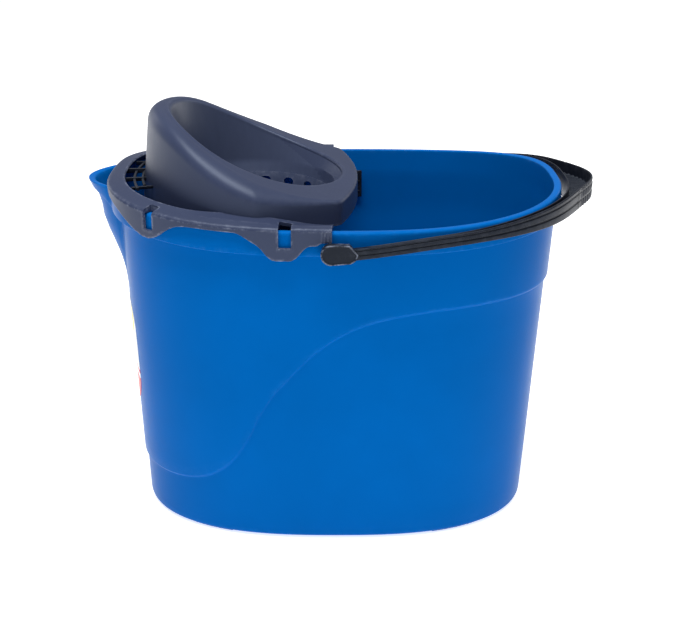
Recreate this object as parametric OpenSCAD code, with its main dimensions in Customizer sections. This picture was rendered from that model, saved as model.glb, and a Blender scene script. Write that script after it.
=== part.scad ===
// Oval mop bucket with a clip-on wringer and a swinging carrying handle.
// +X points to the grip end, -X to the pouring spout, +Z is up, millimetres.

/* [Bucket] */
// Height of the rim at the middle of the long side
rim_z = 282; // [240:1:320]
// Half length of the rim, spout left out
rim_a = 190; // [180:1:200]
// Half width of the rim
rim_b = 135; // [130:1:140]
// How far the rim rises at its two ends
rim_rise = 11; // [0:1:16]
// Height of the folded-over rim band
band_h = 19; // [16:1:22]
// Wall thickness
wall_t = 2.5; // [2:0.1:3]
// Half length of the base at the handle end
base_ar = 171; // [165:1:174]
// Half length of the base at the spout end
base_al = 174.5; // [168:1:176]
// Half width of the base
base_b = 118.5; // [112:0.5:120]
// Depth of the wavy step round the wall
step_d = 2.2; // [1:0.1:3]
// How far the spout stands out from the rim
spout_d = 25; // [16:1:30]
// Half width of the spout
spout_w = 42; // [34:1:48]
// Height of the foot arcs
foot_h = 1.6; // [1:0.1:3]

/* [Handle] */
// Position of the pivots along the bucket
pivot_x = -4; // [-10:1:4]
// Height of the pivots
pivot_z = 267; // [265:0.1:268]
// Radius of the pivot pins
pin_r = 3.6; // [3:0.1:3.8]
// Radial clearance of the pins in the handle
pin_gap = 0.06; // [0.02:0.01:0.1]
// Thickness of the handle's end bosses
boss_t = 6.5; // [5.5:0.1:8]
// Height of the handle band at the grip
grip_h = 17; // [14:1:20]
// Width of the grip
grip_w = 25; // [20:1:30]
// How far the slack handle sits up at the front and down at the back
twist = 2; // [0:0.5:4]

/* [Wringer] */
// Height of the cup's top above the rim, spout side
cup_high = 76; // [60:1:80]
// Height of the cup's top above the rim, handle side
cup_low = 12; // [10:1:16]
// Half width of the cup's outer wall
cup_b = 118.5; // [110:0.5:121]
// Half width of the cup's opening
cup_in_b = 80; // [60:1:84]
// Depth of the slotted basket's floor below the rim
basket_d = 78; // [60:1:100]
// Number of drain slots round the basket
slot_count = 18; // [12:2:30]

/* [Hidden] */
na = 120;
rim_n = 2.6;
rim_lip = 5.7;
band_t = 2;
band_out = 1.6;
side_y = rim_b + band_out + 3.3;
grip_x = rim_a + band_out + 4 + grip_w;
spout_x = rim_a + band_out + spout_d - 1;
// Puts the middle of the whole object's length over the origin
shift_x = (spout_x - grip_x) / 2;
basket_cx = -70;
basket_top = rim_z - 6;
basket_z = rim_z - basket_d;

// ---- small helpers ----
function clamp(v, lo, hi) = min(hi, max(lo, v));
function smooth(a, b, v) = let (t = clamp((v - a) / (b - a), 0, 1)) t * t * (3 - 2 * t);
function radius(t, al, ar, b, n) =
    pow(pow(abs(cos(t)) / (cos(t) < 0 ? al : ar), n) + pow(abs(sin(t)) / b, n), -1 / n);
function oval(t, al, ar, b, n) = radius(t, al, ar, b, n) * [cos(t), sin(t)];
// Faces between ring i and ring i + 1 of m points each; flipped where in = true
function band(i, k, m) = [for (j = [0:m - 1]) let (j2 = (j + 1) % m)
    each [[i * m + j, k * m + j2, i * m + j2], [i * m + j, k * m + j, k * m + j2]]];
module rings_solid(rings) {
    // Stack of rings, from the bottom outside to the bottom inside, capped at both ends
    m = len(rings[0]);
    c = len(rings);
    polyhedron(points = [for (r = rings) each r],
               faces = [each [for (i = [0:c - 2]) each band(i, i + 1, m)],
                        [for (j = [0:m - 1]) j],
                        [for (j = [m - 1:-1:0]) (c - 1) * m + j]]);
}
module rings_torus(rings) {
    // Stack of rings whose last ring joins the first
    m = len(rings[0]);
    c = len(rings);
    polyhedron(points = [for (r = rings) each r],
               faces = [for (i = [0:c - 1]) each band(i, (i + 1) % c, m)]);
}
module sweep_solid(sections) {
    // Open sweep of closed sections, capped at both ends
    rings_solid([for (r = sections) [for (i = [len(r) - 1:-1:0]) r[i]]]);
}
module placed() {
    translate([shift_x, 0, 0]) children();
}

// ---- bucket surfaces ----
// Height of the wavy step line over the length
function wave_k(x) = 26 + 6 * clamp((x + 57) / 15, -1, 1);
function wave_z(x) = foot_h + 44 + 169 / (1 + exp(-(x + 57) / wave_k(x)));
function spout_f(y) = abs(y) < spout_w ? pow(cos(90 * y / spout_w), 0.85) : 0;
function rim_height(x) = rim_z + rim_rise * pow(abs(clamp(x, -rim_a, rim_a)) / rim_a, 3);
// Wall point at angle t: up is 1 above the wavy step and 0 below it, off is outward
function wall_pt(t, z, up, off) =
    let (k = (z - foot_h) / (rim_z - foot_h),
         s = step_d * up + off,
         p = oval(t, base_al + 8 * k + s, base_ar + 14.3 * k + s, base_b + 9.6 * k + s, rim_n),
         b = p.x < 0 ? spout_f(p.y) * (spout_d - 5) * smooth(202, 268, z) : 0)
    [p.x - b, p.y, z];
// Point of the rim at angle t: off is outward from the rim's outline, dz is down from its top
function rim_pt(t, off, dz) =
    let (p = oval(t, rim_a + off, rim_a + off, rim_b + off, rim_n),
         f = p.x < 0 ? spout_f(p.y) : 0)
    let (d = dz * (dz > 6 ? 1 - 0.7 * f : 1))
    [p.x - f * (spout_d - 0.75 * d), p.y, rim_height(p.x) - f - d];
function angles() = [for (j = [0:na - 1]) 360 * j / na];
function wall_x(t) = wall_pt(t, 150, 0, 0).x;
function wall_ring(up, off, k0, dz) =
    // Ring between the base (k0 = 0) and the wavy line (k0 = 1), or from it (up = 1) to the band
    [for (t = angles()) let (w = wave_z(wall_x(t)),
        lo = up == 0 ? foot_h + 4 : w + 1.5,
        hi = up == 0 ? w - 1.5 : rim_height(wall_x(t)) - band_h - 2)
        wall_pt(t, lo + (hi - lo) * k0 + dz, up, off)];

module bucket_shell() {
    color([0.03, 0.4, 0.75]) placed() rings_solid([
        [for (t = angles()) wall_pt(t, foot_h, 0, -4)],
        [for (t = angles()) wall_pt(t, foot_h + 1.2, 0, -1.2)],
        wall_ring(0, 0, 0, 0),
        wall_ring(0, 0, 0.5, 0),
        wall_ring(0, 0, 1, 0),
        wall_ring(1, 0, 0, 0),
        wall_ring(1, 0, 0.35, 0),
        wall_ring(1, 0, 0.7, 0),
        wall_ring(1, 0, 0.85, 0),
        wall_ring(1, 0, 1, 0),
        [for (t = angles()) rim_pt(t, -3, 3)],
        [for (t = angles()) rim_pt(t, band_out - band_t - 0.6, 3)],
        [for (t = angles()) rim_pt(t, band_out - band_t, band_h)],
        [for (t = angles()) rim_pt(t, band_out, band_h)],
        [for (t = angles()) rim_pt(t, 0.6, 2)],
        [for (t = angles()) rim_pt(t, -1.2, 0)],
        [for (t = angles()) rim_pt(t, -rim_lip + 1, 0)],
        [for (t = angles()) rim_pt(t, -rim_lip, 1)],
        wall_ring(1, -wall_t, 1, 0),
        wall_ring(1, -wall_t, 0.85, 0),
        wall_ring(1, -wall_t, 0.7, 0),
        wall_ring(1, -wall_t, 0.35, 0),
        wall_ring(1, -wall_t, 0, 0),
        wall_ring(0, -wall_t, 1, 0),
        wall_ring(0, -wall_t, 0.5, 0),
        [for (t = angles()) wall_pt(t, foot_h + 6, 0, -wall_t)],
        [for (t = angles()) wall_pt(t, foot_h + 2.8, 0, -wall_t - 3)]]);
}

function foot_pt(t, off) = let (p = wall_pt(t, foot_h, 0, off)) [p.x, p.y];
module foot_arc(t0, t1) {
    // Raised arc under the edge of the base
    m = 24;
    placed() linear_extrude(height = foot_h)
        polygon([each [for (j = [0:m]) foot_pt(t0 + (t1 - t0) * j / m, -4.3)],
                 each [for (j = [m:-1:0]) foot_pt(t0 + (t1 - t0) * j / m, -9)]]);
}
module foot_arc_spout_end() {
    color([0.03, 0.36, 0.7]) foot_arc(131, 229);
}
module foot_arc_handle_end() {
    color([0.03, 0.36, 0.7]) foot_arc(-52, 52);
}

module pivot_pin(s) {
    // Round pin that stands out of the wall through the rim band
    placed() translate([pivot_x, s * (rim_b - 8), pivot_z]) rotate([s * -90, 0, 0])
        cylinder(r = pin_r, h = side_y + boss_t - 2.3 - rim_b + 8, $fn = 48);
}
module pivot_pin_front() {
    color([0.03, 0.36, 0.7]) pivot_pin(-1);
}
module pivot_pin_back() {
    color([0.03, 0.36, 0.7]) pivot_pin(1);
}

module label_sticker() {
    // Thin oval label that follows the wall of the spout end
    c = 12;
    rows = 10;
    step = 360 / na;
    color([0.95, 0.93, 0.9]) placed() rings_solid([for (i = [0:c]) let (
        k = (i - c / 2) / (c / 2 + 0.6),
        hh = 52 * pow(1 - pow(abs(k), 3.5), 1 / 3.5), t = 180 + (i - c / 2) * step)
        [each [for (r = [0:rows]) wall_pt(t, 146 + hh * (2 * r / rows - 1), 1, 0.35)],
         each [for (r = [rows:-1:0]) wall_pt(t, 146 + hh * (2 * r / rows - 1), 1, -0.15)]]]);
}

// ---- wringer ----
// Depth of the scalloped lower edge below the rim over the length
function bump(v, m, w) = exp(-pow((v - m) / w, 2));
function scallop(x) = 1.5 + 8.5 * smooth(-78, -58, x) + 12.5 * exp(-pow((x + 41) / 15, 4))
                    - 2.5 * smooth(-16, -10, x) + 17.7 * bump(x, -148, x < -148 ? 26 : 17)
                    - 3.6 * smooth(-184, -190.5, x);
// How far the flange reaches in from the collar's outer face, and how high its inner edge is
function flange_in(x) = 14 + 8 * smooth(-130, -80, x) + 25 * smooth(-62, -8, x);
function flange_up(x) = 8 - 4 * smooth(-90, -30, x);
function flange_end(x) = flange_up(x) - 11 * smooth(-62, -8, x);
function collar_pt(t, off, dz) =
    let (o = band_out + off, p = oval(t, rim_a + o, rim_a + o, rim_b + o, rim_n))
    [p.x, p.y, rim_height(p.x) + dz];
function collar_section(t) =
    let (x = collar_pt(t, 0, 0).x, d = scallop(x), f = flange_in(x), u = flange_up(x),
         e = flange_end(x))
    [collar_pt(t, 0.4, -d), collar_pt(t, 2.6, -d), collar_pt(t, 2.6, 1.6), collar_pt(t, 1.4, 3.6),
     collar_pt(t, -6, u * 0.5 + 2), collar_pt(t, 2.6 - f, e), collar_pt(t, 1.6 - f, e - 1.2),
     collar_pt(t, 2 - f, e - 2.4), collar_pt(t, -8, 1), collar_pt(t, 0.4, max(0.3, 0.8 - d))];
module collar_window(turn, w, a, d) {
    // Slot of width w through the skirt and d deep into the flange, at angle a
    p = oval(a, rim_a + band_out, rim_a + band_out, rim_b + band_out, rim_n);
    translate([p.x, p.y, rim_height(p.x) - 12]) rotate([0, 0, a - 90 + turn])
        translate([-w / 2, -d, 0]) cube([w, d + 18, 30]);
}
module wringer_collar() {
    m = 80;
    color([0.2, 0.22, 0.28]) placed() difference() {
        sweep_solid([for (i = [0:m]) collar_section(91.4 + (268.6 - 91.4) * i / m)]);
        for (s = [-1, 1]) {
            collar_window(s * 15, 10, 180 + s * 73.8, 16);
            collar_window(s * 18, 9, 180 + s * 35.6, 11);
        }
    }
}

// Height of the slanted deck over the length, levelling off at the spout side
function slant(v) = v < 0.85 ? v : v - pow(v - 0.85, 2) / 0.6;
function cup_top(x) = rim_z + cup_low
                    + (cup_high - cup_low) * pow(slant(clamp((18 - x) / 160, 0, 1.15)), 1.8);
// Outline of the cup's outer wall at angle t about its middle, off is outward, d is depth below
// the top. Sides that draw together meet a slightly curved end wall at the handle side.
function cup_end(t, a) = 2 * a / (cos(t) + sqrt(pow(cos(t), 2) + 4 * a * pow(sin(t), 2) / 567));
function cup_right(t, a, b) =
    pow(pow(radius(t, 98, a + 120, b, 1.15), -30) + pow(cup_end(t, a), -30), -1 / 30);
function cup_out(t, off, d) =
    let (b = cup_b + off + 0.02 * d,
         p = cos(t) < 0 ? oval(t, 98 + off + 0.12 * d, 80, b, 1.75)
                        : cup_right(t, 80 + off, b) * [cos(t), sin(t)])
    [p.x - 62, p.y];
function cup_in(t, k, off) =
    let (p = oval(t, 65 - 13 * k + off, 78 - 18 * k + off, cup_in_b - 20 * k + off, 2))
    [p.x - 74 + 2 * k, p.y];
function up3(p, z) = [p.x, p.y, z];
module wringer_cup() {
    // Outer wall and slanted deck
    a = [for (j = [0:95]) 360 * j / 96];
    fr = [for (t = a) let (x = cup_out(t, 0, 0).x) 3 + 11 * smooth(0, -150, x)];
    color([0.24, 0.26, 0.32]) placed() rings_torus([
        [for (t = a) up3(cup_out(t, 0, 60), rim_z - 8)],
        [for (j = [0:95]) let (p = cup_out(a[j], 0, 0)) up3(p, cup_top(p.x) - 1 - fr[j])],
        [for (j = [0:95]) let (p = cup_out(a[j], -0.3 * fr[j], 0)) up3(p, cup_top(p.x) - 1 - 0.3 * fr[j])],
        [for (j = [0:95]) let (p = cup_out(a[j], -fr[j], 0)) up3(p, cup_top(p.x) - 1)],
        [for (t = a) let (p = cup_in(t, 0, 4)) up3(p, cup_top(p.x))],
        [for (t = a) let (p = cup_in(t, 0, 4)) up3(p, cup_top(p.x) - 3.6)],
        [for (j = [0:95]) let (p = cup_out(a[j], -3 - fr[j] * 0.6, 0))
            up3(p, cup_top(p.x) - 4 - 0.3 * fr[j])],
        [for (j = [0:95]) let (p = cup_out(a[j], -2.6, 0)) up3(p, cup_top(p.x) - fr[j] - 3)],
        [for (t = a) up3(cup_out(t, -2.6, 60), rim_z - 8)]]);
}
module wringer_throat() {
    // Inner wall of the cup, from the deck down to the basket
    a = [for (j = [0:95]) 360 * j / 96];
    color([0.3, 0.32, 0.38]) placed() rings_torus([
        [for (t = a) let (p = cup_in(t, 0, 4)) up3(p, cup_top(p.x))],
        [for (t = a) let (p = cup_in(t, 0, 2)) up3(p, cup_top(p.x) - 0.4)],
        [for (t = a) let (p = cup_in(t, 0, 0)) up3(p, cup_top(p.x) - 2.6)],
        [for (t = a) let (p = cup_in(t, 0.4, 0)) up3(p, rim_z + 4)],
        [for (t = a) up3(cup_in(t, 0.65, 0), basket_top)],
        [for (t = a) up3(cup_in(t, 0.65, 2.5), basket_top)],
        [for (t = a) let (p = cup_in(t, 0.4, 2.6)) up3(p, rim_z + 4)],
        [for (t = a) let (p = cup_in(t, 0, 4)) up3(p, cup_top(p.x) - 3.6)]]);
}

// Basket wall: lv is 0 at the top and 1 at the floor
function basket_pt(t, lv, off) =
    let (p = oval(t, 56.5 - 14.5 * lv + off, 66.5 - 24.5 * lv + off, 67 - 23 * lv + off, 2))
    [p.x - 72.7 + 2.7 * lv, p.y, basket_top + 2 + (basket_z - basket_top - 2) * lv];
module drain_basket() {
    // Tapered wall with upright slots between the staves
    m = slot_count * 2;
    lv = [0, 0.06, 0.88, 1];
    a = [for (j = [0:m - 1]) 360 * (floor(j / 2) + (j % 2) * 0.4) / slot_count];
    function id(side, i, j) = side * 4 * m + i * m + (j % m);
    function quad(p, q, r, s) = [[p, q, r], [p, r, s]];
    color([0.2, 0.22, 0.28]) placed() polyhedron(
        points = [each [for (i = [0:3]) each [for (t = a) basket_pt(t, lv[i], 1.2)]],
                  each [for (i = [0:3]) each [for (t = a) basket_pt(t, lv[i], -1.2)]]],
        faces = [
            each [for (i = [0:2]) each [for (j = [0:m - 1]) if (!(i == 1 && j % 2 == 0))
                each quad(id(0, i, j), id(0, i, j + 1), id(0, i + 1, j + 1), id(0, i + 1, j))]],
            each [for (i = [0:2]) each [for (j = [0:m - 1]) if (!(i == 1 && j % 2 == 0))
                each quad(id(1, i, j), id(1, i + 1, j), id(1, i + 1, j + 1), id(1, i, j + 1))]],
            each [for (j = [0:m - 1])
                each quad(id(0, 0, j), id(1, 0, j), id(1, 0, j + 1), id(0, 0, j + 1))],
            each [for (j = [0:m - 1])
                each quad(id(0, 3, j), id(0, 3, j + 1), id(1, 3, j + 1), id(1, 3, j))],
            each [for (j = [0:2:m - 1]) each concat(
                quad(id(0, 1, j), id(0, 1, j + 1), id(1, 1, j + 1), id(1, 1, j)),
                quad(id(0, 2, j), id(1, 2, j), id(1, 2, j + 1), id(0, 2, j + 1)),
                quad(id(0, 1, j), id(1, 1, j), id(1, 2, j), id(0, 2, j)),
                quad(id(0, 1, j + 1), id(0, 2, j + 1), id(1, 2, j + 1), id(1, 1, j + 1)))]]);
}
module drain_floor() {
    // Floor of the basket with straight drain slots
    color([0.2, 0.22, 0.28]) placed() difference() {
        translate([0, 0, basket_z - 2.5]) linear_extrude(height = 2.5)
            polygon([for (j = [0:59]) let (p = basket_pt(6 * j, 1, 1.2)) [p.x, p.y]]);
        for (i = [-3:3])
            translate([basket_cx + 10 * i - 2.5, -24, basket_z - 4]) cube([5, 48, 6]);
    }
}

module spout_grille() {
    // Bars that join the collar to the cup across the pouring gap
    z0 = rim_z + rim_rise;
    color([0.2, 0.22, 0.28]) placed() union() {
        for (s = [-2:2])
            rotate([0, 0, 180 + 9 * s]) translate([162 - 1.5 * abs(s), -1.5, z0])
                cube([20 - 0.4 * s * s, 3, 6.5 - 0.8 * abs(s)]);
        translate([0, 0, z0]) linear_extrude(height = 3)
            polygon([each [for (j = [-9:9]) 174 * [-cos(2.2 * j), sin(2.2 * j)]],
                     each [for (j = [9:-1:-9]) 171 * [-cos(2.2 * j), sin(2.2 * j)]]]);
    }
}

module clip(s) {
    // Hook that hangs from the collar's end inside the wall
    y0 = s > 0 ? 120.4 : -123;
    placed() union() {
        translate([-14, y0, 263]) cube([10, 2.6, rim_z - 263]);
        translate([-14, y0, 237]) cube([38, 2.6, 26.5]);
    }
}
module clip_front() {
    color([0.2, 0.22, 0.28]) clip(-1);
}
module clip_back() {
    color([0.2, 0.22, 0.28]) clip(1);
}

// ---- handle ----
// Outline of the handle's paddle-shaped end, in the plane of the pivot
function boss_outline() = [[0, 8], [13, 8], [20.5, 3.2], [20.5, -2.4], [14, -6.6], [0, -8]];
module handle_boss(s) {
    placed() translate([pivot_x, s * side_y, pivot_z]) rotate([s * -90, 0, 0]) difference() {
        union() {
            cylinder(r = 8, h = boss_t, $fn = 64);
            linear_extrude(height = boss_t) polygon([for (p = boss_outline()) [p.x, s * -p.y]]);
        }
        translate([0, 0, -1]) cylinder(r = pin_r + pin_gap, h = boss_t - 1, $fn = 48);
    }
}
module handle_boss_front() {
    color([0.13, 0.15, 0.2]) handle_boss(-1);
}
module handle_boss_back() {
    color([0.13, 0.15, 0.2]) handle_boss(1);
}

// Height of the bail's middle line; a slack handle hangs a little twisted, front side up
function bail_z(x, y) = pivot_z + 0.4 + 0.094 * (x - 14) - twist * y / side_y * smooth(10, 80, x);
function bail_h(x) = 9 + (grip_h - 9) * smooth(90, 200, x);
function bail_t(y) = 5.6 + (grip_w - 5.6) * exp(-pow(y / 42, 2));
// Inner face of the bail at angle t about the bucket's middle, off is outward
function bail_xy(t, off) = oval(t, 196, rim_a + band_out + 4 + off, side_y + 0.3 + off, 2.6);
function bail_section(t, ridge, s) =
    let (p = bail_xy(t, 0), q = bail_xy(t, bail_t(p.y)), g = bail_xy(t, bail_t(p.y) - 1.4),
         z = bail_z(p.x, s * p.y), h = bail_h(p.x) / 2, r = bail_xy(t, bail_t(p.y) + ridge))
    [[p.x, p.y, z - h], [r.x, r.y, z - h], [r.x, r.y, z - h * 0.5], [g.x, g.y, z - h * 0.42],
     [g.x, g.y, z + h * 0.42], [r.x, r.y, z + h * 0.5], [r.x, r.y, z + h - 1.5],
     [q.x + (p.x - q.x) * 0.1, q.y + (p.y - q.y) * 0.1, z + h], [p.x, p.y, z + h]];
module handle_arm(s) {
    // Arm on the back side, s = 1, or the same arm as it is shaped for the front side, s = -1
    m = 32;
    placed() sweep_solid([for (i = [m:-1:0]) bail_section(86 - 71 * i / m, 0, s)]);
}
module handle_arm_front() {
    color([0.18, 0.2, 0.26]) mirror([0, 1, 0]) handle_arm(-1);
}
module handle_arm_back() {
    color([0.18, 0.2, 0.26]) handle_arm(1);
}
module handle_grip() {
    // Ridged middle of the handle
    m = 40;
    color([0.14, 0.15, 0.2]) placed()
        sweep_solid([for (i = [0:m]) bail_section(-16 + 0.8 * i, (i % 2) * -1, 1)]);
}

bucket_shell();
foot_arc_spout_end();
foot_arc_handle_end();
pivot_pin_front();
pivot_pin_back();
label_sticker();
wringer_collar();
wringer_cup();
wringer_throat();
drain_basket();
drain_floor();
spout_grille();
clip_front();
clip_back();
handle_boss_front();
handle_boss_back();
handle_arm_front();
handle_arm_back();
handle_grip();
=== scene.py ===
"""Looks of the oval mop bucket with its clip-on wringer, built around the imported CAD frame."""
import math

import bmesh
import bpy
import numpy as np
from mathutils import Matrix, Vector


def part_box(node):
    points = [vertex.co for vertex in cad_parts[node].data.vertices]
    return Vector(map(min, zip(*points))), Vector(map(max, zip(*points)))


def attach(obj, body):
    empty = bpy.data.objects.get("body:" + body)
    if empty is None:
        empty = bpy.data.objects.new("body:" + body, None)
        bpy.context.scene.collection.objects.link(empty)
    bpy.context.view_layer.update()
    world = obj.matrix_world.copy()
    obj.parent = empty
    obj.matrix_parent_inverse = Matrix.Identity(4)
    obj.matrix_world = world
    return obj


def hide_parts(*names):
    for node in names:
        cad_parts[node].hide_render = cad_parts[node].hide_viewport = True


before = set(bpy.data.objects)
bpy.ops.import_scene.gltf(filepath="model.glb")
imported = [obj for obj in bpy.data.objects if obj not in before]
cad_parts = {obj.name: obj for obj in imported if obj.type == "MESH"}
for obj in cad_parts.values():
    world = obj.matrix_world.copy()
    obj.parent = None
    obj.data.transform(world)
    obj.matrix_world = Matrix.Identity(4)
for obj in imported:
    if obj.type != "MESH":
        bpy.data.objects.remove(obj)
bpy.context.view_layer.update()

# ---- dimensions, in millimetres, about the middle of the bucket's oval ----
PIN_LO, PIN_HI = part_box("pivot_pin_front")
SHELL_LO, SHELL_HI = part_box("bucket_shell")
PIVOT_X = -4.0
PIVOT_Z = 500 * (PIN_LO.z + PIN_HI.z)
SHIFT_X = 500 * (PIN_LO.x + PIN_HI.x) - PIVOT_X
BAND_OUT = 1.6
BAND_T = 2.0
BAND_H = 19.0
WALL_T = 2.5
RIM_B = 1000 * SHELL_HI.y - BAND_OUT
RIM_A = 1000 * SHELL_HI.x - SHIFT_X - BAND_OUT
RIM_Z = 282.0
RIM_RISE = 11.0
RIM_N = 2.6
RIM_LIP = 5.7
FOOT_H = 1000 * SHELL_LO.z
BASE_AR, BASE_AL, BASE_B = 171.0, 174.5, 118.5
STEP_D = 2.2
SPOUT_D, SPOUT_W = 24.8, 42.0
SIDE_Y = RIM_B + BAND_OUT + 3.3
WAVE_X = -57.0
STEP_HALF = 1.8
INNER_STEP_HALF = 22.0
FLOOR_T = 2.8
INNER_CORNER = 16.0
BOSS_T = 6.5
GRIP_H, GRIP_W, TWIST = 17.0, 25.0, 2.0
CUP_HIGH, CUP_LOW, CUP_B, CUP_IN_B = 75.9, 12.0, 118.5, 80.0
BASKET_TOP = RIM_Z - 6
BASKET_Z = 1000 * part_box("drain_floor")[1].z
SLOTS = 18


# ---- small maths ----
def smooth(a, b, v):
    t = np.clip((v - a) / (b - a), 0, 1)
    return t * t * (3 - 2 * t)


def bump(v, m, w):
    return np.exp(-(((v - m) / w) ** 2))


def radius(t, al, ar, b, n):
    c, s = np.cos(t), np.sin(t)
    return ((np.abs(c) / np.where(c < 0, al, ar)) ** n + (np.abs(s) / b) ** n) ** (-1 / n)


def oval(t, al, ar, b, n):
    r = radius(t, al, ar, b, n)
    return r * np.cos(t), r * np.sin(t)


def ring(x, y, z):
    x, y, z = np.broadcast_arrays(x, y, z)
    return np.stack([x, y, z], -1)


def turn(count, start=0.0):
    return start + 2 * math.pi * np.arange(count) / count


# ---- bucket surfaces, as in the CAD ----
def wave_z(x):
    """Height of the wavy step line over the length."""
    k = 26 + 6 * np.clip((x - WAVE_X) / 15, -1, 1)
    return FOOT_H + 44 + 169 / (1 + np.exp(-(x - WAVE_X) / k))


def spout_f(y):
    """Share of the spout's reach at y: 1 in its middle, 0 beside it."""
    c = np.maximum(np.cos(np.pi / 2 * np.clip(y / SPOUT_W, -1, 1)), 0)
    return c ** 0.85 * smooth(-0.05, 0.15, c)


def rim_height(x):
    return RIM_Z + RIM_RISE * (np.abs(np.clip(x, -RIM_A, RIM_A)) / RIM_A) ** 3


def wall_pt(t, z, up, off):
    """Wall at angle t: up is 1 above the wavy step and 0 below it, off is outward."""
    k = (z - FOOT_H) / (RIM_Z - FOOT_H)
    s = STEP_D * up + off
    x, y = oval(t, BASE_AL + 8 * k + s, BASE_AR + 14.3 * k + s, BASE_B + 9.6 * k + s, RIM_N)
    bulge = np.where(x < 0, spout_f(y) * (SPOUT_D - 5) * smooth(202, 268, z), 0)
    return ring(x - bulge, y, z)


def rim_pt(t, off, dz):
    """Rim at angle t: off is outward, dz is down from its top; the band is lower at the spout."""
    x, y = oval(t, RIM_A + off, RIM_A + off, RIM_B + off, RIM_N)
    f = np.where(x < 0, spout_f(y), 0)
    end = BAND_H * (1 - 0.7 * f)
    d = dz if dz <= 3 else 3 + (dz - 3) * (end - 3) / (BAND_H - 3)
    return ring(x - f * (SPOUT_D - 0.75 * d), y, rim_height(x) - f - d)


def collar_pt(t, off, dz):
    o = BAND_OUT + off
    x, y = oval(t, RIM_A + o, RIM_A + o, RIM_B + o, RIM_N)
    return np.array([x, y, rim_height(x) + dz])


def cup_top(x):
    """Height of the slanted deck over the length."""
    v = np.clip((18 - x) / 160, 0, 1.15)
    v = np.where(v < 0.85, v, v - (v - 0.85) ** 2 / 0.6)
    return RIM_Z + CUP_LOW + (CUP_HIGH - CUP_LOW) * v ** 1.8


def cup_out(t, off, d):
    """Outline of the cup: rounded towards the spout; sides and a flat end towards the handle."""
    b, a = CUP_B + off + 0.02 * d, 80 + off
    xl, yl = oval(t, 98 + off + 0.12 * d, 80, b, 1.75)
    c, s = np.cos(t), np.sin(t)
    end = 2 * a / (c + np.sqrt(c * c + 4 * a * s * s / 567))
    r = (radius(t, 98, a + 120, b, 1.15) ** -90.0 + end ** -90.0) ** (-1 / 90)
    return np.where(c < 0, xl, r * c) - 62, np.where(c < 0, yl, r * s)


def cup_in(t, k, off):
    x, y = oval(t, 65 - 13 * k + off, 78 - 18 * k + off, CUP_IN_B - 20 * k + off, 2)
    return x - 74 + 2 * k, y


def basket_xy(t, lv, off):
    x, y = oval(t, 56.5 - 14.5 * lv + off, 66.5 - 24.5 * lv + off, 67 - 23 * lv + off, 2)
    return x - 72.7 + 2.7 * lv, y


def bail_z(x, y):
    return PIVOT_Z + 0.4 + 0.094 * (x - 14) - TWIST * y / SIDE_Y * smooth(10, 80, x)


def bail_h(x):
    return 9 + (GRIP_H - 9) * smooth(90, 200, x)


def bail_t(y):
    return 5.6 + (GRIP_W - 5.6) * math.exp(-((y / 42) ** 2))


def bail_xy(t, off):
    return oval(t, 196, RIM_A + BAND_OUT + 4 + off, SIDE_Y + 0.3 + off, 2.6)


# ---- mesh making ----
def piece(name, verts, faces, body, nodes, slot, mat, sharp=50.0):
    """A mesh object in the row frame from points in millimetres about the oval's middle."""
    co = (np.asarray(verts, float).reshape(-1, 3) + [SHIFT_X, 0, 0]) * 0.001
    me = bpy.data.meshes.new(name)
    me.from_pydata(co.tolist(), [], faces)
    bm = bmesh.new()
    bm.from_mesh(me)
    bmesh.ops.remove_doubles(bm, verts=bm.verts, dist=2e-6)
    bmesh.ops.recalc_face_normals(bm, faces=bm.faces)
    bm.to_mesh(me)
    bm.free()
    obj = bpy.data.objects.new(name, me)
    bpy.context.scene.collection.objects.link(obj)
    dress(obj, mat, sharp)
    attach(obj, body)
    if nodes:
        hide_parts(*nodes)
    return obj


def dress(obj, mat, sharp=50.0):
    """Smooth shading with sharp edges, the material, and how much each point stands out."""
    me = obj.data
    me.polygons.foreach_set("use_smooth", [True] * len(me.polygons))
    me.set_sharp_from_angle(angle=math.radians(sharp))
    me.materials.clear()
    me.materials.append(mat)
    mark_edges(me)


def mark_edges(me, gain=1.2):
    """Stores where a surface curves outward tightly, from 0 to 1, as the attribute 'edge'."""
    n = len(me.vertices)
    co = np.zeros(n * 3)
    me.vertices.foreach_get("co", co)
    co = co.reshape(-1, 3) * 1000
    no = np.zeros(n * 3)
    me.vertices.foreach_get("normal", no)
    no = no.reshape(-1, 3)
    e = np.zeros(len(me.edges) * 2, int)
    me.edges.foreach_get("vertices", e)
    a, b = e.reshape(-1, 2).T
    d = co[b] - co[a]
    length2 = np.maximum((d ** 2).sum(1), 1e-3)
    curve = ((no[b] - no[a]) * d).sum(1) / length2
    total = np.zeros(n)
    np.maximum.at(total, a, curve)
    np.maximum.at(total, b, curve)
    value = np.clip(total * gain, 0, 1)
    attribute = me.attributes.get("edge") or me.attributes.new("edge", "FLOAT", "POINT")
    attribute.data.foreach_set("value", value.astype(np.float32))


def strip_faces(first, second, count, closed=True):
    """Quads between two rows of count points that start at the given indices."""
    last = count if closed else count - 1
    return [(first + j, first + (j + 1) % count, second + (j + 1) % count, second + j)
            for j in range(last)]


def torus(rings):
    """Rings round the same way, the last of which joins the first."""
    m = len(rings[0])
    faces = []
    for i in range(len(rings)):
        faces += strip_faces(i * m, (i + 1) % len(rings) * m, m)
    return np.concatenate(rings), faces


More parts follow.
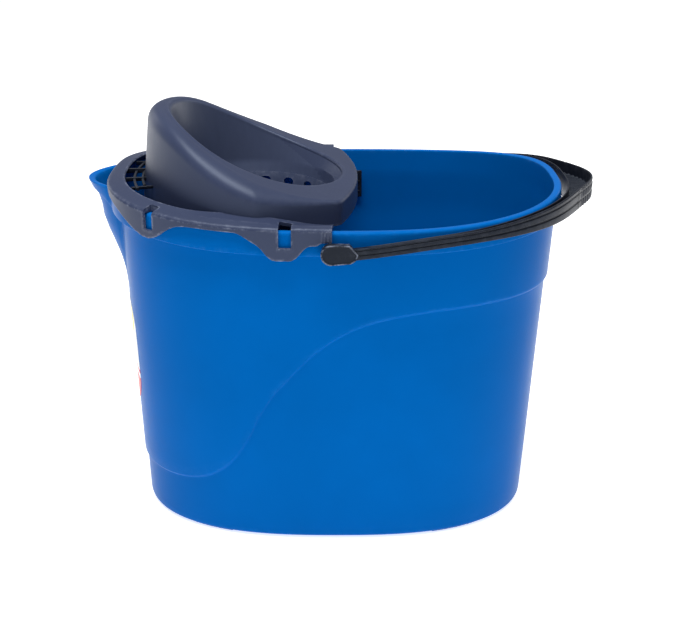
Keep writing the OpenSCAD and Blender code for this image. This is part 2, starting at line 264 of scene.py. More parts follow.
def cup_stack(rings):
    """Rings from one closed end to the other; each end is closed by shrinking rings."""
    m = len(rings[0])
    first, last = rings[0], rings[-1]
    a, b = first.mean(0), last.mean(0)
    rings = ([a + (first - a) * k for k in (0.02, 0.35, 0.7)] + list(rings)
             + [b + (last - b) * k for k in (0.7, 0.35, 0.02)])
    faces = [tuple(range(m))]
    for i in range(len(rings) - 1):
        faces += strip_faces(i * m, (i + 1) * m, m)
    faces.append(tuple(range((len(rings) - 1) * m, len(rings) * m)))
    return np.concatenate(rings), faces


def sweep(sections):
    """Closed sections in a row, with a flat face at each end."""
    m = len(sections[0])
    faces = [tuple(range(m))]
    for i in range(len(sections) - 1):
        faces += strip_faces(i * m, (i + 1) * m, m)
    faces.append(tuple(range((len(sections) - 1) * m, len(sections) * m)))
    return np.concatenate(sections), faces


def joined(*parts):
    """Several (points, faces) as one."""
    verts, faces, start = [], [], 0
    for v, f in parts:
        verts.append(np.asarray(v, float).reshape(-1, 3))
        faces += [tuple(i + start for i in face) for face in f]
        start += len(verts[-1])
    return np.concatenate(verts), faces


def rounded(points, radii, steps=5):
    """A closed 2-D outline with each corner rounded; always gives steps + 1 points a corner."""
    p = np.asarray(points, float)
    out = []
    for i, r in enumerate(radii):
        here, before, after = p[i], p[i - 1], p[(i + 1) % len(p)]
        a, b = before - here, after - here
        la, lb = np.linalg.norm(a), np.linalg.norm(b)
        a, b = a / la, b / lb
        half = math.acos(max(-1.0, min(1.0, float(a @ b)))) / 2
        reach = min(r / max(math.tan(half), 1e-3), 0.48 * la, 0.48 * lb)
        start, end = here + a * reach, here + b * reach
        for k in range(steps + 1):
            s = k / steps
            out.append((1 - s) ** 2 * start + 2 * s * (1 - s) * here + s * s * end)
    return np.array(out)


def refined(outline, counts):
    """Adds counts[i] extra points on the closed outline's edge from point i to the next."""
    out = []
    for i, p in enumerate(outline):
        q = outline[(i + 1) % len(outline)]
        out.append(p)
        for k in range(counts.get(i, 0)):
            out.append(p + (q - p) * (k + 1) / (counts[i] + 1))
    return np.array(out)


def block(x0, x1, y0, y1, z0, z1, r=0.5):
    """A box with rounded upright and level edges, as (points, faces), in millimetres."""
    outline = rounded([[x0, y0], [x1, y0], [x1, y1], [x0, y1]], [2 * r] * 4, 4)
    middle = outline.mean(0)
    size = np.abs(outline - middle).max(0)
    rings = []
    for k in range(5):
        a = math.pi / 2 * k / 4
        rings.append((r * (1 - math.sin(a)), z0 + r * (1 - math.cos(a))))
    rings += [(inset, z1 - (z - z0)) for inset, z in reversed(rings)]
    sections = [ring(*(middle + (outline - middle) * (1 - inset / size)).T, z)
                for inset, z in rings]
    return sweep(sections)


def cut(obj, cutters):
    """Takes the cutters, each (points, faces), away from obj's mesh."""
    v, f = joined(*cutters)
    me = bpy.data.meshes.new("cutter")
    me.from_pydata(((v + [SHIFT_X, 0, 0]) * 0.001).tolist(), [], f)
    bm = bmesh.new()
    bm.from_mesh(me)
    bmesh.ops.recalc_face_normals(bm, faces=bm.faces)
    bm.to_mesh(me)
    bm.free()
    tool = bpy.data.objects.new("cutter", me)
    bpy.context.scene.collection.objects.link(tool)
    mod = obj.modifiers.new("cut", "BOOLEAN")
    mod.operation = "DIFFERENCE"
    mod.solver = "EXACT"
    mod.object = tool
    bpy.context.view_layer.update()
    done = bpy.data.meshes.new_from_object(
        obj.evaluated_get(bpy.context.evaluated_depsgraph_get()))
    obj.modifiers.clear()
    mat = obj.data.materials[0]
    obj.data = done
    bpy.data.objects.remove(tool)
    dress(obj, mat)


# ---- materials ----
def node(tree, kind, **sockets):
    n = tree.nodes.new(kind)
    for name, value in sockets.items():
        n.inputs[name.replace("_", " ")].default_value = value
    return n


def plastic(name, base, worn, rough, grain, scuffs=0.5, specular=0.4, streak=0.0,
            tint=(1, 1, 1), ior=1.34):
    """Moulded plastic: base colour with slow variation, worn edges, uneven gloss, fine grain."""
    mat = bpy.data.materials.new(name)
    mat.use_nodes = True
    t = mat.node_tree
    shader = t.nodes["Principled BSDF"]
    shader.inputs["Specular IOR Level"].default_value = specular
    shader.inputs["Specular Tint"].default_value = tuple(tint) + (1,)
    shader.inputs["IOR"].default_value = ior
    place = t.nodes.new("ShaderNodeTexCoord")
    slow = node(t, "ShaderNodeTexNoise", Scale=9.0, Detail=3.0, Roughness=0.6)
    fine = node(t, "ShaderNodeTexNoise", Scale=grain, Detail=2.0, Roughness=0.5)
    marks = node(t, "ShaderNodeTexNoise", Scale=160.0, Detail=6.0, Roughness=0.75)
    stretch = t.nodes.new("ShaderNodeMapping")
    stretch.inputs["Scale"].default_value = (26.0, 26.0, 1.5)
    lines = node(t, "ShaderNodeTexNoise", Scale=8.0, Detail=4.0, Roughness=0.6)
    for n in (slow, fine, marks):
        t.links.new(place.outputs["Object"], n.inputs["Vector"])
    t.links.new(place.outputs["Object"], stretch.inputs["Vector"])
    t.links.new(stretch.outputs["Vector"], lines.inputs["Vector"])
    tone = t.nodes.new("ShaderNodeMix")
    tone.data_type = "RGBA"
    dark = tuple(c * 0.86 for c in base) + (1,)
    light = tuple(min(1, c * 1.12) for c in base) + (1,)
    tone.inputs["A"].default_value = dark
    tone.inputs["B"].default_value = light
    if streak > 0:
        both = node(t, "ShaderNodeMix")
        both.inputs["Factor"].default_value = streak
        t.links.new(slow.outputs["Fac"], both.inputs["A"])
        t.links.new(lines.outputs["Fac"], both.inputs["B"])
        t.links.new(both.outputs["Result"], tone.inputs["Factor"])
    else:
        t.links.new(slow.outputs["Fac"], tone.inputs["Factor"])
    edge = t.nodes.new("ShaderNodeAttribute")
    edge.attribute_name = "edge"
    patch = t.nodes.new("ShaderNodeMapRange")
    patch.inputs["From Min"].default_value = 0.46
    patch.inputs["From Max"].default_value = 0.72
    t.links.new(marks.outputs["Fac"], patch.inputs["Value"])
    amount = t.nodes.new("ShaderNodeMath")
    amount.operation = "MULTIPLY"
    t.links.new(edge.outputs["Fac"], amount.inputs[0])
    t.links.new(patch.outputs["Result"], amount.inputs[1])
    share = t.nodes.new("ShaderNodeMath")
    share.operation = "MULTIPLY"
    share.inputs[1].default_value = scuffs
    t.links.new(amount.outputs["Value"], share.inputs[0])
    wear = t.nodes.new("ShaderNodeMix")
    wear.data_type = "RGBA"
    t.links.new(share.outputs["Value"], wear.inputs["Factor"])
    t.links.new(tone.outputs["Result"], wear.inputs["A"])
    wear.inputs["B"].default_value = tuple(worn) + (1,)
    t.links.new(wear.outputs["Result"], shader.inputs["Base Color"])
    gloss = t.nodes.new("ShaderNodeMapRange")
    gloss.inputs["To Min"].default_value = rough - 0.06
    gloss.inputs["To Max"].default_value = rough + 0.08
    t.links.new(marks.outputs["Fac"], gloss.inputs["Value"])
    t.links.new(gloss.outputs["Result"], shader.inputs["Roughness"])
    relief = t.nodes.new("ShaderNodeBump")
    relief.inputs["Strength"].default_value = 0.12
    relief.inputs["Distance"].default_value = 0.0004
    t.links.new(fine.outputs["Fac"], relief.inputs["Height"])
    t.links.new(relief.outputs["Normal"], shader.inputs["Normal"])
    return mat


def blue_plastic():
    return plastic("blue_plastic", (0.0, 0.11, 0.41), (0.12, 0.34, 0.75), 0.3, 700.0, 0.12, 0.18,
                   tint=(0.0, 0.45, 1.0), ior=1.2)


def charcoal_plastic():
    return plastic("charcoal_plastic", (0.031, 0.041, 0.083), (0.42, 0.46, 0.58), 0.41, 900.0,
                   0.45, 0.55, tint=(0.75, 0.85, 1.0))


def throat_plastic():
    return plastic("throat_plastic", (0.042, 0.054, 0.1), (0.3, 0.32, 0.4), 0.34, 900.0,
                   0.3, 0.5, streak=0.8, tint=(0.75, 0.85, 1.0))


def black_plastic():
    return plastic("black_plastic", (0.007, 0.009, 0.016), (0.2, 0.22, 0.28), 0.33, 900.0,
                   0.1, 0.36, tint=(0.8, 0.9, 1.0))


def boss_plastic():
    return plastic("boss_plastic", (0.007, 0.009, 0.016), (0.34, 0.38, 0.48), 0.4, 900.0,
                   1.0, 0.35, tint=(0.8, 0.9, 1.0))


def label_print():
    """Generic printed label: pale ground, a yellow ring, a thin red line and a red foot."""
    mat = bpy.data.materials.new("label_print")
    mat.use_nodes = True
    t = mat.node_tree
    shader = t.nodes["Principled BSDF"]
    place = t.nodes.new("ShaderNodeTexCoord")
    axes = t.nodes.new("ShaderNodeSeparateXYZ")
    t.links.new(place.outputs["Object"], axes.inputs["Vector"])

    def maths(op, a, b=None):
        n = t.nodes.new("ShaderNodeMath")
        n.operation = op
        for socket, value in zip(n.inputs, (a, b)):
            if value is None:
                continue
            if isinstance(value, (int, float)):
                socket.default_value = value
            else:
                t.links.new(value, socket)
        return n.outputs["Value"]

    def over(under, colour, mask):
        n = t.nodes.new("ShaderNodeMix")
        n.data_type = "RGBA"
        t.links.new(mask, n.inputs["Factor"])
        t.links.new(under, n.inputs["A"])
        n.inputs["B"].default_value = colour + (1,)
        return n.outputs["Result"]

    y, z = axes.outputs["Y"], axes.outputs["Z"]
    grain = node(t, "ShaderNodeTexNoise", Scale=300.0, Detail=3.0)
    t.links.new(place.outputs["Object"], grain.inputs["Vector"])
    ground = t.nodes.new("ShaderNodeMix")
    ground.data_type = "RGBA"
    ground.inputs["A"].default_value = (0.8, 0.8, 0.78, 1)
    ground.inputs["B"].default_value = (0.92, 0.92, 0.9, 1)
    t.links.new(grain.outputs["Fac"], ground.inputs["Factor"])
    colour = ground.outputs["Result"]
    far = maths("SQRT", maths("ADD", maths("POWER", maths("ADD", y, 0.036), 2.0),
                              maths("POWER", maths("SUBTRACT", z, 0.176), 2.0)))
    colour = over(colour, (0.9, 0.68, 0.03), maths("LESS_THAN", far, 0.0165))
    colour = over(colour, (0.05, 0.13, 0.45), maths("LESS_THAN", far, 0.008))
    curve = maths("ADD", z, maths("MULTIPLY", maths("POWER", y, 2.0), 4.0))
    colour = over(colour, (0.7, 0.03, 0.04), maths("LESS_THAN", curve, 0.144))
    colour = over(colour, (0.88, 0.88, 0.86), maths("LESS_THAN", curve, 0.1405))
    colour = over(colour, (0.65, 0.02, 0.035), maths("LESS_THAN", curve, 0.136))
    t.links.new(colour, shader.inputs["Base Color"])
    shader.inputs["Roughness"].default_value = 0.35
    relief = t.nodes.new("ShaderNodeBump")
    relief.inputs["Strength"].default_value = 0.05
    relief.inputs["Distance"].default_value = 0.0002
    t.links.new(grain.outputs["Fac"], relief.inputs["Height"])
    t.links.new(relief.outputs["Normal"], shader.inputs["Normal"])
    return mat


BLUE, CHARCOAL, THROAT = blue_plastic(), charcoal_plastic(), throat_plastic()
BLACK, BOSS, PRINT = black_plastic(), boss_plastic(), label_print()


# ---- bucket ----
def bucket_shell():
    """The whole bucket: wall with its wavy step, rim band, rounded rim, inside and floor."""
    t = turn(480)
    x_mid = wall_pt(t, 150.0, 0, 0)[:, 0]
    wave, top = wave_z(x_mid), rim_height(x_mid) - BAND_H - 2
    rings = []

    def wall(k0, k1, count, up, off):
        lo = FOOT_H + 4 if up == 0 else wave + STEP_HALF
        hi = wave - STEP_HALF if up == 0 else top
        for k in np.linspace(k0, k1, count):
            rings.append(wall_pt(t, lo + (hi - lo) * k, up, off))

    for a in np.linspace(0, math.pi / 2, 7)[:-1]:
        rings.append(wall_pt(t, FOOT_H + 4 - 4 * math.cos(a), 0, -4 + 4 * math.sin(a)))
    wall(0, 1, 12, 0, 0)
    for v in np.linspace(-1, 1, 9)[1:-1]:
        rings.append(wall_pt(t, wave + STEP_HALF * v, smooth(-1, 1, v), 0))
    wall(0, 1, 22, 1, 0)
    inner = BAND_OUT - BAND_T
    for off, dz in ((-3, 3), (inner - 0.6, 3), (inner - 0.1, 12), (inner, BAND_H - 0.9),
                    (inner + 0.3, BAND_H - 0.2), (inner + 0.9, BAND_H),
                    (BAND_OUT - 0.45, BAND_H - 0.05), (BAND_OUT - 0.1, BAND_H - 0.4),
                    (BAND_OUT, BAND_H - 1), (BAND_OUT - 0.25, 14), (BAND_OUT - 0.5, 10),
                    (BAND_OUT - 0.8, 6), (0.65, 3.1)):
        rings.append(rim_pt(t, off, dz))
    for a in np.linspace(0, math.pi / 2, 8)[1:]:
        rings.append(rim_pt(t, -1.9 + 2.5 * math.cos(a), 2.7 - 2.6 * math.sin(a)))
    rings.append(rim_pt(t, -3.2, 0.0))
    for a in np.linspace(0, math.pi / 2, 6):
        rings.append(rim_pt(t, -RIM_LIP + 1 - math.sin(a), 1.1 - math.cos(a)))
    lip, below = rings[-1], wall_pt(t, top, 1, -WALL_T)
    for k in np.linspace(0, 1, 8)[1:-1]:
        rings.append(lip + (below - lip) * k)
    low = FOOT_H + INNER_CORNER
    for k in np.linspace(0, 1, 44):
        z = top + (low - top) * k
        up = smooth(wave - INNER_STEP_HALF, wave + INNER_STEP_HALF, z)
        rings.append(wall_pt(t, z, up, -WALL_T))
    for a in np.linspace(0, math.pi / 2, 12)[1:]:
        z = FOOT_H + FLOOR_T + (INNER_CORNER - FLOOR_T) * (1 - math.sin(a))
        rings.append(wall_pt(t, z, 0, -WALL_T - INNER_CORNER * (1 - math.cos(a))))
    v, f = cup_stack(rings)
    return piece("bucket_body", v, f, "bucket", ["bucket_shell"], "blue_plastic", BLUE)


def label():
    """Thin curved sticker on the wall of the spout end."""
    cols, rows = 48, 40
    out, back = [], []
    for i in range(cols + 1):
        k = (i - cols / 2) / (cols / 2 + 0.6)
        half = 52 * (1 - abs(k) ** 3.5) ** (1 / 3.5)
        t = math.radians(180 + (i - cols / 2) * 18 / (cols / 2))
        z = 146 + half * np.linspace(-1, 1, rows + 1)
        out.append(wall_pt(t, z, 1, 0.34))
        back.append(wall_pt(t, z, 1, -0.1))
    sections = [np.concatenate([a, b[::-1]]) for a, b in zip(out, back)]
    v, f = sweep(sections)
    return piece("round_label", v, f, "bucket", ["label_sticker"], "label", PRINT)


# ---- wringer ----
def scallop(x):
    """How far the collar's skirt hangs below the rim over the length."""
    return (1.5 + 8.5 * smooth(-78, -58, x) + 12.5 * np.exp(-((x + 41) / 15) ** 4)
            - 2.5 * smooth(-16, -10, x) + 17.7 * bump(x, -148, 26 if x < -148 else 17)
            - 3.6 * smooth(-184, -190.5, x))


def flange_in(x):
    """How far the flange reaches in from the collar's outer face."""
    return 14 + 8 * smooth(-130, -80, x) + 25 * smooth(-62, -8, x)


def flange_up(x):
    """How high the flange's inner edge is."""
    return 8 - 4 * smooth(-90, -30, x)


WINDOWS = [(s * 15, 10.0, 180 + s * 73.8, 16.0) for s in (-1, 1)] + \
          [(s * 18, 9.0, 180 + s * 35.6, 7.0) for s in (-1, 1)]


def window_place(turned, angle):
    """Middle of a window on the rim, and its sideways and outward directions."""
    o = RIM_A + BAND_OUT, RIM_B + BAND_OUT
    x, y = oval(math.radians(angle), o[0], o[0], o[1], RIM_N)
    a = math.radians(angle - 90 + turned)
    return (np.array([float(x), float(y), float(rim_height(x))]),
            np.array([math.cos(a), math.sin(a), 0.0]), np.array([-math.sin(a), math.cos(a), 0.0]))


def window_cutter(turned, w, angle, d):
    middle, side, out = window_place(turned, angle)
    v, f = block(-w / 2, w / 2, -d, 18, -12, 18, 0.9)
    return middle + v[:, :1] * side + v[:, 1:2] * out + v[:, 2:] * [0, 0, 1], f


def collar():
    """Scalloped collar over the rim, with rough lobes, ridged ends and framed windows."""
    count = 700
    rng = np.random.default_rng(7)
    rough_edge = np.convolve(rng.normal(0, 1, count + 5), np.ones(4) / 4, "same")
    places = [(window_place(s, a), w) for s, w, a, _ in WINDOWS]
    sections = []
    for i in range(count + 1):
        t = math.radians(91.4 + (268.6 - 91.4) * i / count)
        x = collar_pt(t, 0, 0)[0]
        f, u = flange_in(x), flange_up(x)
        e = u - 11 * smooth(-62, -8, x)
        lobes = bump(x, -41, 14) + bump(x, -148, 18)
        d = scallop(x) + 0.28 * rough_edge[i] * lobes
        outline = rounded(
            [[0.4, -d], [2.6, -d], [2.6, 1.6], [1.4, 3.6], [-6, u * 0.5 + 2], [2.6 - f, e],
             [1.6 - f, e - 1.2], [2 - f, e - 2.4], [-8, 1], [0.4, max(0.3, 0.8 - d)]],
            [0.5, 0.9, 1.6, 4.0, 4.0, 0.7, 0.7, 2.0, 3.0, 0.6], 5)
        outline = refined(outline, {5: 2, 11: 16, 17: 1, 23: 6, 29: 6, 53: 2, 59: 6})
        end = min(i, count - i)
        folds = smooth(15, 11, end) * (0.2 + 0.2 * math.cos(end * 1.5)) if end < 16 else 0.0
        pts = []
        for off, dz in outline:
            outer = smooth(0.9, 2.2, off) * smooth(6.0, 1.0, dz)
            extra = folds * outer
            p = collar_pt(t, off + extra, dz)
            for (middle, side, out), w in places:
                s = abs(float((p - middle) @ side))
                if s < w and abs(float((p - middle) @ out)) < 12:
                    frame_edge = bump(s, w / 2 + 0.9, 0.8)
                    level = smooth(-13.2, -12.2, dz) if s < w / 2 + 0.5 else 1.0
                    foot = bump(dz, -12.9, 0.8) if s < w / 2 + 0.9 else 0.0
                    add = 0.3 * max(frame_edge * level * smooth(-14.5, -13.0, dz), foot) * outer
                    if add > 0.01:
                        p = collar_pt(t, off + extra + add, dz)
                    break
            pts.append(p)
        sections.append(np.array(pts))
    v, f = sweep(sections)
    obj = piece("collar_ring", v, f, "wringer", ["wringer_collar"], "charcoal_plastic", CHARCOAL)
    cut(obj, [window_cutter(*w) for w in WINDOWS])
    return obj


def cup():
    """Slanted cup: outer wall, soft lip, flat deck and inner wall down to the basket."""
    t = turn(384)
    x0, _ = cup_out(t, 0, 0)
    soft = smooth(12, -110, x0)
    fr = 3 + 14 * soft
    rings = []

    def put(xy, z_of):
        rings.append(ring(xy[0], xy[1], z_of(xy[0])))

    foot = ring(*cup_out(t, 0, 60), RIM_Z - 8)
    x, y = cup_out(t, 0, 0)
    brow = ring(x, y, cup_top(x) - 1 - fr)
    for k in np.linspace(0, 1, 16):
        rings.append(foot + (brow - foot) * k)
    inner = ring(*cup_in(t, 0, 3), 0)
    width = np.hypot(inner[:, 0] - x, inner[:, 1] - y)
    in_share = (3 + (0.86 * width - 3) * soft) / width
    for a in np.linspace(0, math.pi / 2, 15)[1:]:
        k = in_share * (1 - math.cos(a))
        px, py = x + (inner[:, 0] - x) * k, y + (inner[:, 1] - y) * k
        rings.append(ring(px, py, cup_top(px) - 1 - fr * (1 - math.sin(a))))
    outer = rings[-1]
    for k in np.linspace(0, 1, 10)[1:]:
        p = outer + (inner - outer) * k
        rings.append(ring(p[:, 0], p[:, 1], cup_top(p[:, 0]) - 1 + k))
    for a in np.linspace(0, math.pi / 2, 8)[1:]:
        put(cup_in(t, 0, 3 - 3 * math.sin(a)), lambda px: cup_top(px) - 3 * (1 - math.cos(a)))
    brow = rings[-1]
    x, y = cup_in(t, 0.4, 0)
    waist = ring(x, y, RIM_Z + 4)
    for k in np.linspace(0, 1, 14)[1:]:
        rings.append(brow + (waist - brow) * k)
    low = ring(*cup_in(t, 0.65, 0), BASKET_TOP)
    for k in np.linspace(0, 1, 5)[1:]:
        rings.append(waist + (low - waist) * k)
    rings.append(ring(*cup_in(t, 0.65, 2.3), BASKET_TOP))
    put(cup_in(t, 0.4, 2.6), lambda px: RIM_Z + 4 + 0 * px)
    put(cup_in(t, 0, 4), lambda px: cup_top(px) - 3.6)
    put(cup_out(t, -3 - fr * 0.6, 0), lambda px: cup_top(px) - 4 - 0.3 * fr)
    put(cup_out(t, -2.6, 0), lambda px: cup_top(px) - fr - 3)
    rings.append(ring(*cup_out(t, -2.6, 60), RIM_Z - 8))
    v, f = torus(rings)
    obj = piece("cup_body", v, f, "wringer", ["wringer_cup", "wringer_throat"],
                "charcoal_plastic", CHARCOAL, 20.0)
    mark_edges(obj.data, 0.35)
    obj.data.materials.append(THROAT)
    for face in obj.data.polygons:
        x, y, _ = face.center * 1000
        if ((x - SHIFT_X + 74) / 66) ** 2 + (y / 81) ** 2 < 1:
            face.material_index = 1
    return obj


def basket():
    """Tapered wall below the cup with upright round-ended drain slots."""
    per, rows = 14, [0, 0.02, 0.0, 0.25, 0.5, 0.75, 1.0, 0.96, 1]
    m = SLOTS * per
    t = turn(m, -4.4 * math.pi / m)
    lv = np.zeros((9, m))
    open_cell = np.zeros(m, bool)
    for j in range(m):
        k = j % per
        inside = 2 <= k <= 8
        open_cell[j] = 2 <= k < 8
        u = (k - 5) / 3 if inside else 1.0
        arch = 0.03 * (1 - math.sqrt(max(0.0, 1 - u * u))) if inside else 0.03
        lo, hi = 0.05 + arch, 0.9 - arch
        lv[:, j] = [0, 0.02, lo, lo + (hi - lo) * 0.25, lo + (hi - lo) * 0.5,
                    lo + (hi - lo) * 0.75, hi, 0.96, 1]
    verts = []
    for off in (1.4, -1.0):
        for i in range(9):
            x, y = basket_xy(t, lv[i], off if off > 0 else off * smooth(0, 0.06, lv[i]))
            verts.append(ring(x, y, BASKET_TOP + 1 + (BASKET_Z - BASKET_TOP - 1) * lv[i]))
    verts = np.concatenate(verts)

    def at(side, i, j):
        return side * 9 * m + i * m + j % m

    faces = []
    for i in range(8):
        for j in range(m):
            if 2 <= i < 6 and open_cell[j]:
                continue
            faces.append((at(0, i, j), at(0, i, j + 1), at(0, i + 1, j + 1), at(0, i + 1, j)))
            faces.append((at(1, i, j), at(1, i + 1, j), at(1, i + 1, j + 1), at(1, i, j + 1)))
    for j in range(m):
        faces.append((at(0, 0, j), at(1, 0, j), at(1, 0, j + 1), at(0, 0, j + 1)))
        faces.append((at(0, 8, j), at(0, 8, j + 1), at(1, 8, j + 1), at(1, 8, j)))
        if open_cell[j]:
            faces.append((at(0, 2, j), at(0, 2, j + 1), at(1, 2, j + 1), at(1, 2, j)))
            faces.append((at(0, 6, j), at(1, 6, j), at(1, 6, j + 1), at(0, 6, j + 1)))
        for edge_col, near in ((open_cell[j] and not open_cell[j - 1], j),
                               (open_cell[j - 1] and not open_cell[j], j)):
            if edge_col:
                for i in range(2, 6):
                    faces.append((at(0, i, near), at(1, i, near), at(1, i + 1, near),
                                  at(0, i + 1, near)))
    return piece("basket_wall", verts, faces, "wringer", ["drain_basket"], "charcoal_plastic",
                 THROAT, 35.0)


def basket_floor():
    """Floor of the basket: a rounded plate with long slots."""
    outline = np.stack(basket_xy(turn(96), 1.0, 1.2), -1)
    middle = outline.mean(0)
    sections = []
    for inset, z in ((0.6, -2.5), (0.15, -2.3), (0, -1.9), (0, -0.6), (0.15, -0.2), (0.6, 0)):
        p = middle + (outline - middle) * (1 - inset / 42)
        sections.append(ring(p[:, 0], p[:, 1], BASKET_Z + z))
    v, f = sweep(sections)
    obj = piece("basket_plate", v, f, "wringer", ["drain_floor"], "charcoal_plastic", CHARCOAL)
    cutters = [block(-70 + 10 * i - 2.5, -70 + 10 * i + 2.5, -24, 24, BASKET_Z - 6, BASKET_Z + 4, 1.0)
               for i in range(-3, 4)]
    cut(obj, cutters)
    mark_edges(obj.data, 0.2)
    return obj


def grille():
    """Bars with rounded tops across the pouring gap, tied by a curved bar."""
    z0 = RIM_Z + RIM_RISE
    parts = []
    for s in range(-2, 3):
        a = math.radians(180 + 9 * s)
        h = 6.5 - 0.8 * abs(s)
        v, f = block(162 - 1.5 * abs(s), 182 - 1.9 * abs(s) - 0.4 * (s * s - abs(s)), -0.9, 0.9,
                     z0, z0 + h - 2.2, 0.6)
        c, q = math.cos(a), math.sin(a)
        parts.append((np.stack([v[:, 0] * c - v[:, 1] * q, v[:, 0] * q + v[:, 1] * c, v[:, 2]], -1), f))
    for r in (165.5, 172.5):
        sections = []
        for j in range(-40, 41):
            if r < 170 and abs(j) > 34:
                continue
            a = math.radians(180 + 19.6 * j / 40)
            loop = rounded([[-1.1, 0.2], [1.1, 0.2], [1.1, 2.8], [-1.1, 2.8]], [0.6] * 4, 3)
            sections.append(np.stack([(r + loop[:, 0]) * math.cos(a), (r + loop[:, 0]) * math.sin(a),
                                      z0 + loop[:, 1]], -1))
        parts.append(sweep(sections))
    v, f = joined(*parts)
    return piece("pouring_grille", v, f, "wringer", ["spout_grille"], "charcoal_plastic", BLACK)


def clip(name, s):
    """Hook inside the wall: an upright leg, a plate and two ribs."""
    y_out, y_in = s * 122.9, s * 120.9
    leg = block(-13.9, -4.1, min(y_in, y_out), max(y_in, y_out), 258, RIM_Z - 0.1, 0.5)
    plate = block(-13.9, 23.9, min(y_in, y_out), max(y_in, y_out), 237.1, 263.4, 0.6)
    y_rib = s * 120.45
    parts = [leg, plate]
    for z in (242.5, 252.0):
        parts.append(block(-12, 22, min(y_rib, y_in + s), max(y_rib, y_in + s), z, z + 1.4, 0.3))
    v, f = joined(*parts)
    return piece(name, v, f, "wringer", ["clip_front" if s < 0 else "clip_back"],
                 "charcoal_plastic", BLACK)


# ---- handle ----
def boss(name, s):
    """Paddle-shaped end of the handle, with a blind bore and a moulding seam across its face."""
    arc = [[8 * math.cos(a), 8 * math.sin(a)]
           for a in np.linspace(math.pi / 2, 3 * math.pi / 2, 25)]
    lower = rounded([[0, -8], [15, -6.8], [18.5, -4.6], [20.5, -0.8], [20.5, 0.6], [14, 7.8],
                     [0, 8]], [0.01, 1.5, 1.5, 0.6, 0.6, 1.5, 0.01], 5)[6:36]
    outline = np.array([[PIVOT_X + a, PIVOT_Z + b] for a, b in arc + lower.tolist()])
    middle = outline.mean(0)
    y0 = SIDE_Y
    levels = [(0.35, 0.0), (0.1, 0.1), (0.0, 0.4)]
    levels += [(0.0, 2.0), (0.0, 3.9), (0.12, 4.2), (0.12, 4.45), (0.0, 4.6)]
    for k in range(7):
        a = math.pi / 2 * k / 6
        levels.append((0.5 * (1 - math.cos(a)), BOSS_T - 0.5 * (1 - math.sin(a))))
    levels += [(0.9, BOSS_T), (1.1, BOSS_T - 0.35), (1.5, BOSS_T - 0.45), (4.2, BOSS_T - 0.35)]
    sections = []
    size = np.linalg.norm(outline - middle, axis=1, keepdims=True)
    for inset, y in levels:
        p = outline + (middle - outline) / size * inset
        sections.append(ring(p[:, 0], s * (y0 + y), p[:, 1]))
    v, f = sweep(sections)
    ridge = []
    for k in range(41):
        x = PIVOT_X - 7.0 + 25.5 * k / 40
        z = PIVOT_Z + 0.9 + 0.06 * (x - PIVOT_X)
        w = 0.55 * math.sin(math.pi * min(1, (k + 2) / 44)) ** 0.4
        loop = rounded([[-w, 0], [w, 0], [0, 0.3]], [0.05, 0.05, 0.15], 2)
        ridge.append(ring(x, s * (y0 + BOSS_T - 0.5 + loop[:, 1]), z + loop[:, 0]))
    obj = piece(name, *joined((v, f), sweep(ridge)), "handle",
                ["handle_boss_front" if s < 0 else "handle_boss_back"], "black_plastic", BOSS)
    bore = []
    for y in (-1.0, BOSS_T - 2.0):
        a = turn(48)
        bore.append(ring(PIVOT_X + 3.66 * np.cos(a), s * (y0 + y), PIVOT_Z + 3.66 * np.sin(a)))
    cut(obj, [sweep(bore)])
    return obj


def bail_ring(t, s, deck, ridge_top, ridge_end):
    """Section of the bail: outer band with grooves, sunk deck and thin inner lip."""
    x, y = (float(c) for c in bail_xy(t, 0))
    h, w = bail_h(x) / 2, bail_t(y)
    z = float(bail_z(x, s * y))
    if s > 0:
        z -= 1.8 * float(smooth(1.5, 1.25, abs(t)) * smooth(0.28, 0.63, abs(t)))
    wall = min(2.0, w * 0.34)
    lip = min(1.0, w * 0.2)
    skirt = 3 * float(smooth(0.75, 0.35, abs(t)))
    sink = deck * h
    g = min(0.8, w * 0.14)
    e = w + ridge_end
    outline = rounded(
        [[0, -h - skirt], [e, -h], [e, -0.34 * h], [w - g, -0.26 * h], [w - g, -0.12 * h],
         [e, -0.04 * h], [e, 0.5 * h], [w - g, 0.56 * h], [w - g, 0.66 * h], [e - 0.2, 0.72 * h],
         [e - 0.2, h - 0.5], [w - 0.5, h], [w - wall, h], [w - wall - 0.3, h - sink + ridge_top],
         [lip + 0.3, h - sink + ridge_top], [lip, h - 0.3], [0, h - 0.3]],
        [0.6, 0.9, 0.4, 0.2, 0.2, 0.4, 0.4, 0.2, 0.2, 0.3, 0.4, 0.4, 0.5, 0.5, 0.5, 0.3, 0.3], 3)
    pts = []
    for off, dz in outline:
        px, py = bail_xy(t, off)
        pts.append([float(px), s * float(py), z + dz])
    return np.array(pts)


def deck_depth(t):
    """How deep the deck is sunk, as a share of half the height, by the angle in degrees."""
    return 0.14 + 1.1 * float(smooth(58, 20, abs(t)))


def arm(name, s):
    """Arm of the bail on the back side, s = 1, or the front side, s = -1."""
    sections = []
    for i in range(241):
        t = 86 - 71 * i / 240
        sections.append(bail_ring(math.radians(t), s, deck_depth(t) * float(smooth(87, 76, t)), 0, 0))
    v, f = sweep(sections)
    return piece(name, v, f, "handle", ["handle_arm_front" if s < 0 else "handle_arm_back"],
                 "black_plastic", BLACK, 40.0)


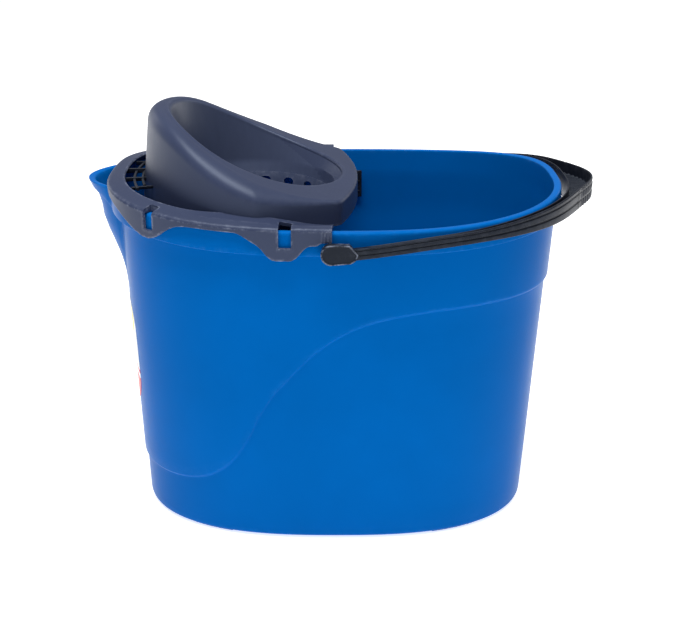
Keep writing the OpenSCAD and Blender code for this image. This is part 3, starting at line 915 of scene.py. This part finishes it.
def grip():
    """Wide middle of the bail, ridged on its sunk deck and its outer face."""
    sections = []
    count = 320
    for i in range(count + 1):
        t = -16 + 32 * i / count
        wave = 0.5 + 0.5 * math.cos(2 * math.pi * t / 1.6)
        held = float(smooth(14.5, 12.5, abs(t)))
        sections.append(bail_ring(math.radians(t), 1, deck_depth(t), 1.3 * wave * held,
                                  -0.9 * (1 - wave) * held))
    v, f = sweep(sections)
    return piece("grip_band", v, f, "handle", ["handle_grip"], "black_plastic", BLACK, 40.0)


# ---- carried-over CAD nodes ----
def finish_cad(name, mat):
    """Material and softened edges for a node that stays as it is in the CAD."""
    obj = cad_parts[name]
    if obj.data.materials:
        for i in range(len(obj.data.materials)):
            obj.material_slots[i].link = "OBJECT"
            obj.material_slots[i].material = mat
    else:
        obj.data.materials.append(mat)
    bevel = obj.modifiers.new("bevel", "BEVEL")
    bevel.width = 0.0003
    bevel.segments = 2
    bevel.limit_method = "ANGLE"


# ---- stage ----
def stage():
    """Pale floor that fills the view, a pale world and soft lights."""
    me = bpy.data.meshes.new("floor")
    me.from_pydata([(-9, -9, 0), (9, -9, 0), (9, 9, 0), (-9, 9, 0)], [], [(0, 1, 2, 3)])
    floor = bpy.data.objects.new("floor", me)
    bpy.context.scene.collection.objects.link(floor)
    mat = bpy.data.materials.new("floor_white")
    mat.use_nodes = True
    shader = mat.node_tree.nodes["Principled BSDF"]
    shader.inputs["Base Color"].default_value = (0.9, 0.9, 0.9, 1)
    shader.inputs["Roughness"].default_value = 0.6
    shader.inputs["Emission Color"].default_value = (1, 1, 1, 1)
    shader.inputs["Emission Strength"].default_value = 0.75
    me.materials.append(mat)
    world = bpy.data.worlds.new("studio")
    bpy.context.scene.world = world
    world.use_nodes = True
    background = world.node_tree.nodes["Background"]
    background.inputs["Color"].default_value = (0.93, 0.95, 1, 1)
    background.inputs["Strength"].default_value = 0.3

    def panel(name, place, aim, size, watts):
        light = bpy.data.lights.new(name, "AREA")
        light.shape = "RECTANGLE"
        light.size, light.size_y = size
        light.energy = watts
        obj = bpy.data.objects.new(name, light)
        obj.location = place
        obj.rotation_euler = (Vector(aim) - Vector(place)).to_track_quat("-Z", "Y").to_euler()
        bpy.context.scene.collection.objects.link(obj)

    panel("left", (-1.5, 1.7, 0.6), (0, 0, 0.15), (0.5, 1.4), 4)
    panel("right", (1.5, 1.7, 0.6), (0, 0, 0.15), (0.5, 1.4), 3)
    panel("top", (-0.1, -0.35, 2.3), (0, 0, 0.2), (1.6, 1.2), 62)


def camera():
    data = bpy.data.cameras.new("camera")
    data.lens = 61.69
    data.sensor_width = 36.0
    obj = bpy.data.objects.new("camera", data)
    obj.location = (0.000252, -0.98168, 0.5522)
    obj.rotation_euler = (math.pi / 2 - 0.37946, 0, 0)
    bpy.context.scene.collection.objects.link(obj)
    bpy.context.scene.camera = obj


bpy.context.scene.view_settings.view_transform = "Standard"
camera()
stage()
bucket_shell()
label()
collar()
cup()
basket()
basket_floor()
grille()
clip("hook_front", -1)
clip("hook_back", 1)
boss("boss_front", -1)
boss("boss_back", 1)
arm("arm_front", -1)
arm("arm_back", 1)
grip()
for cad_name in ("foot_arc_spout_end", "foot_arc_handle_end", "pivot_pin_front", "pivot_pin_back"):
    finish_cad(cad_name, BLUE)
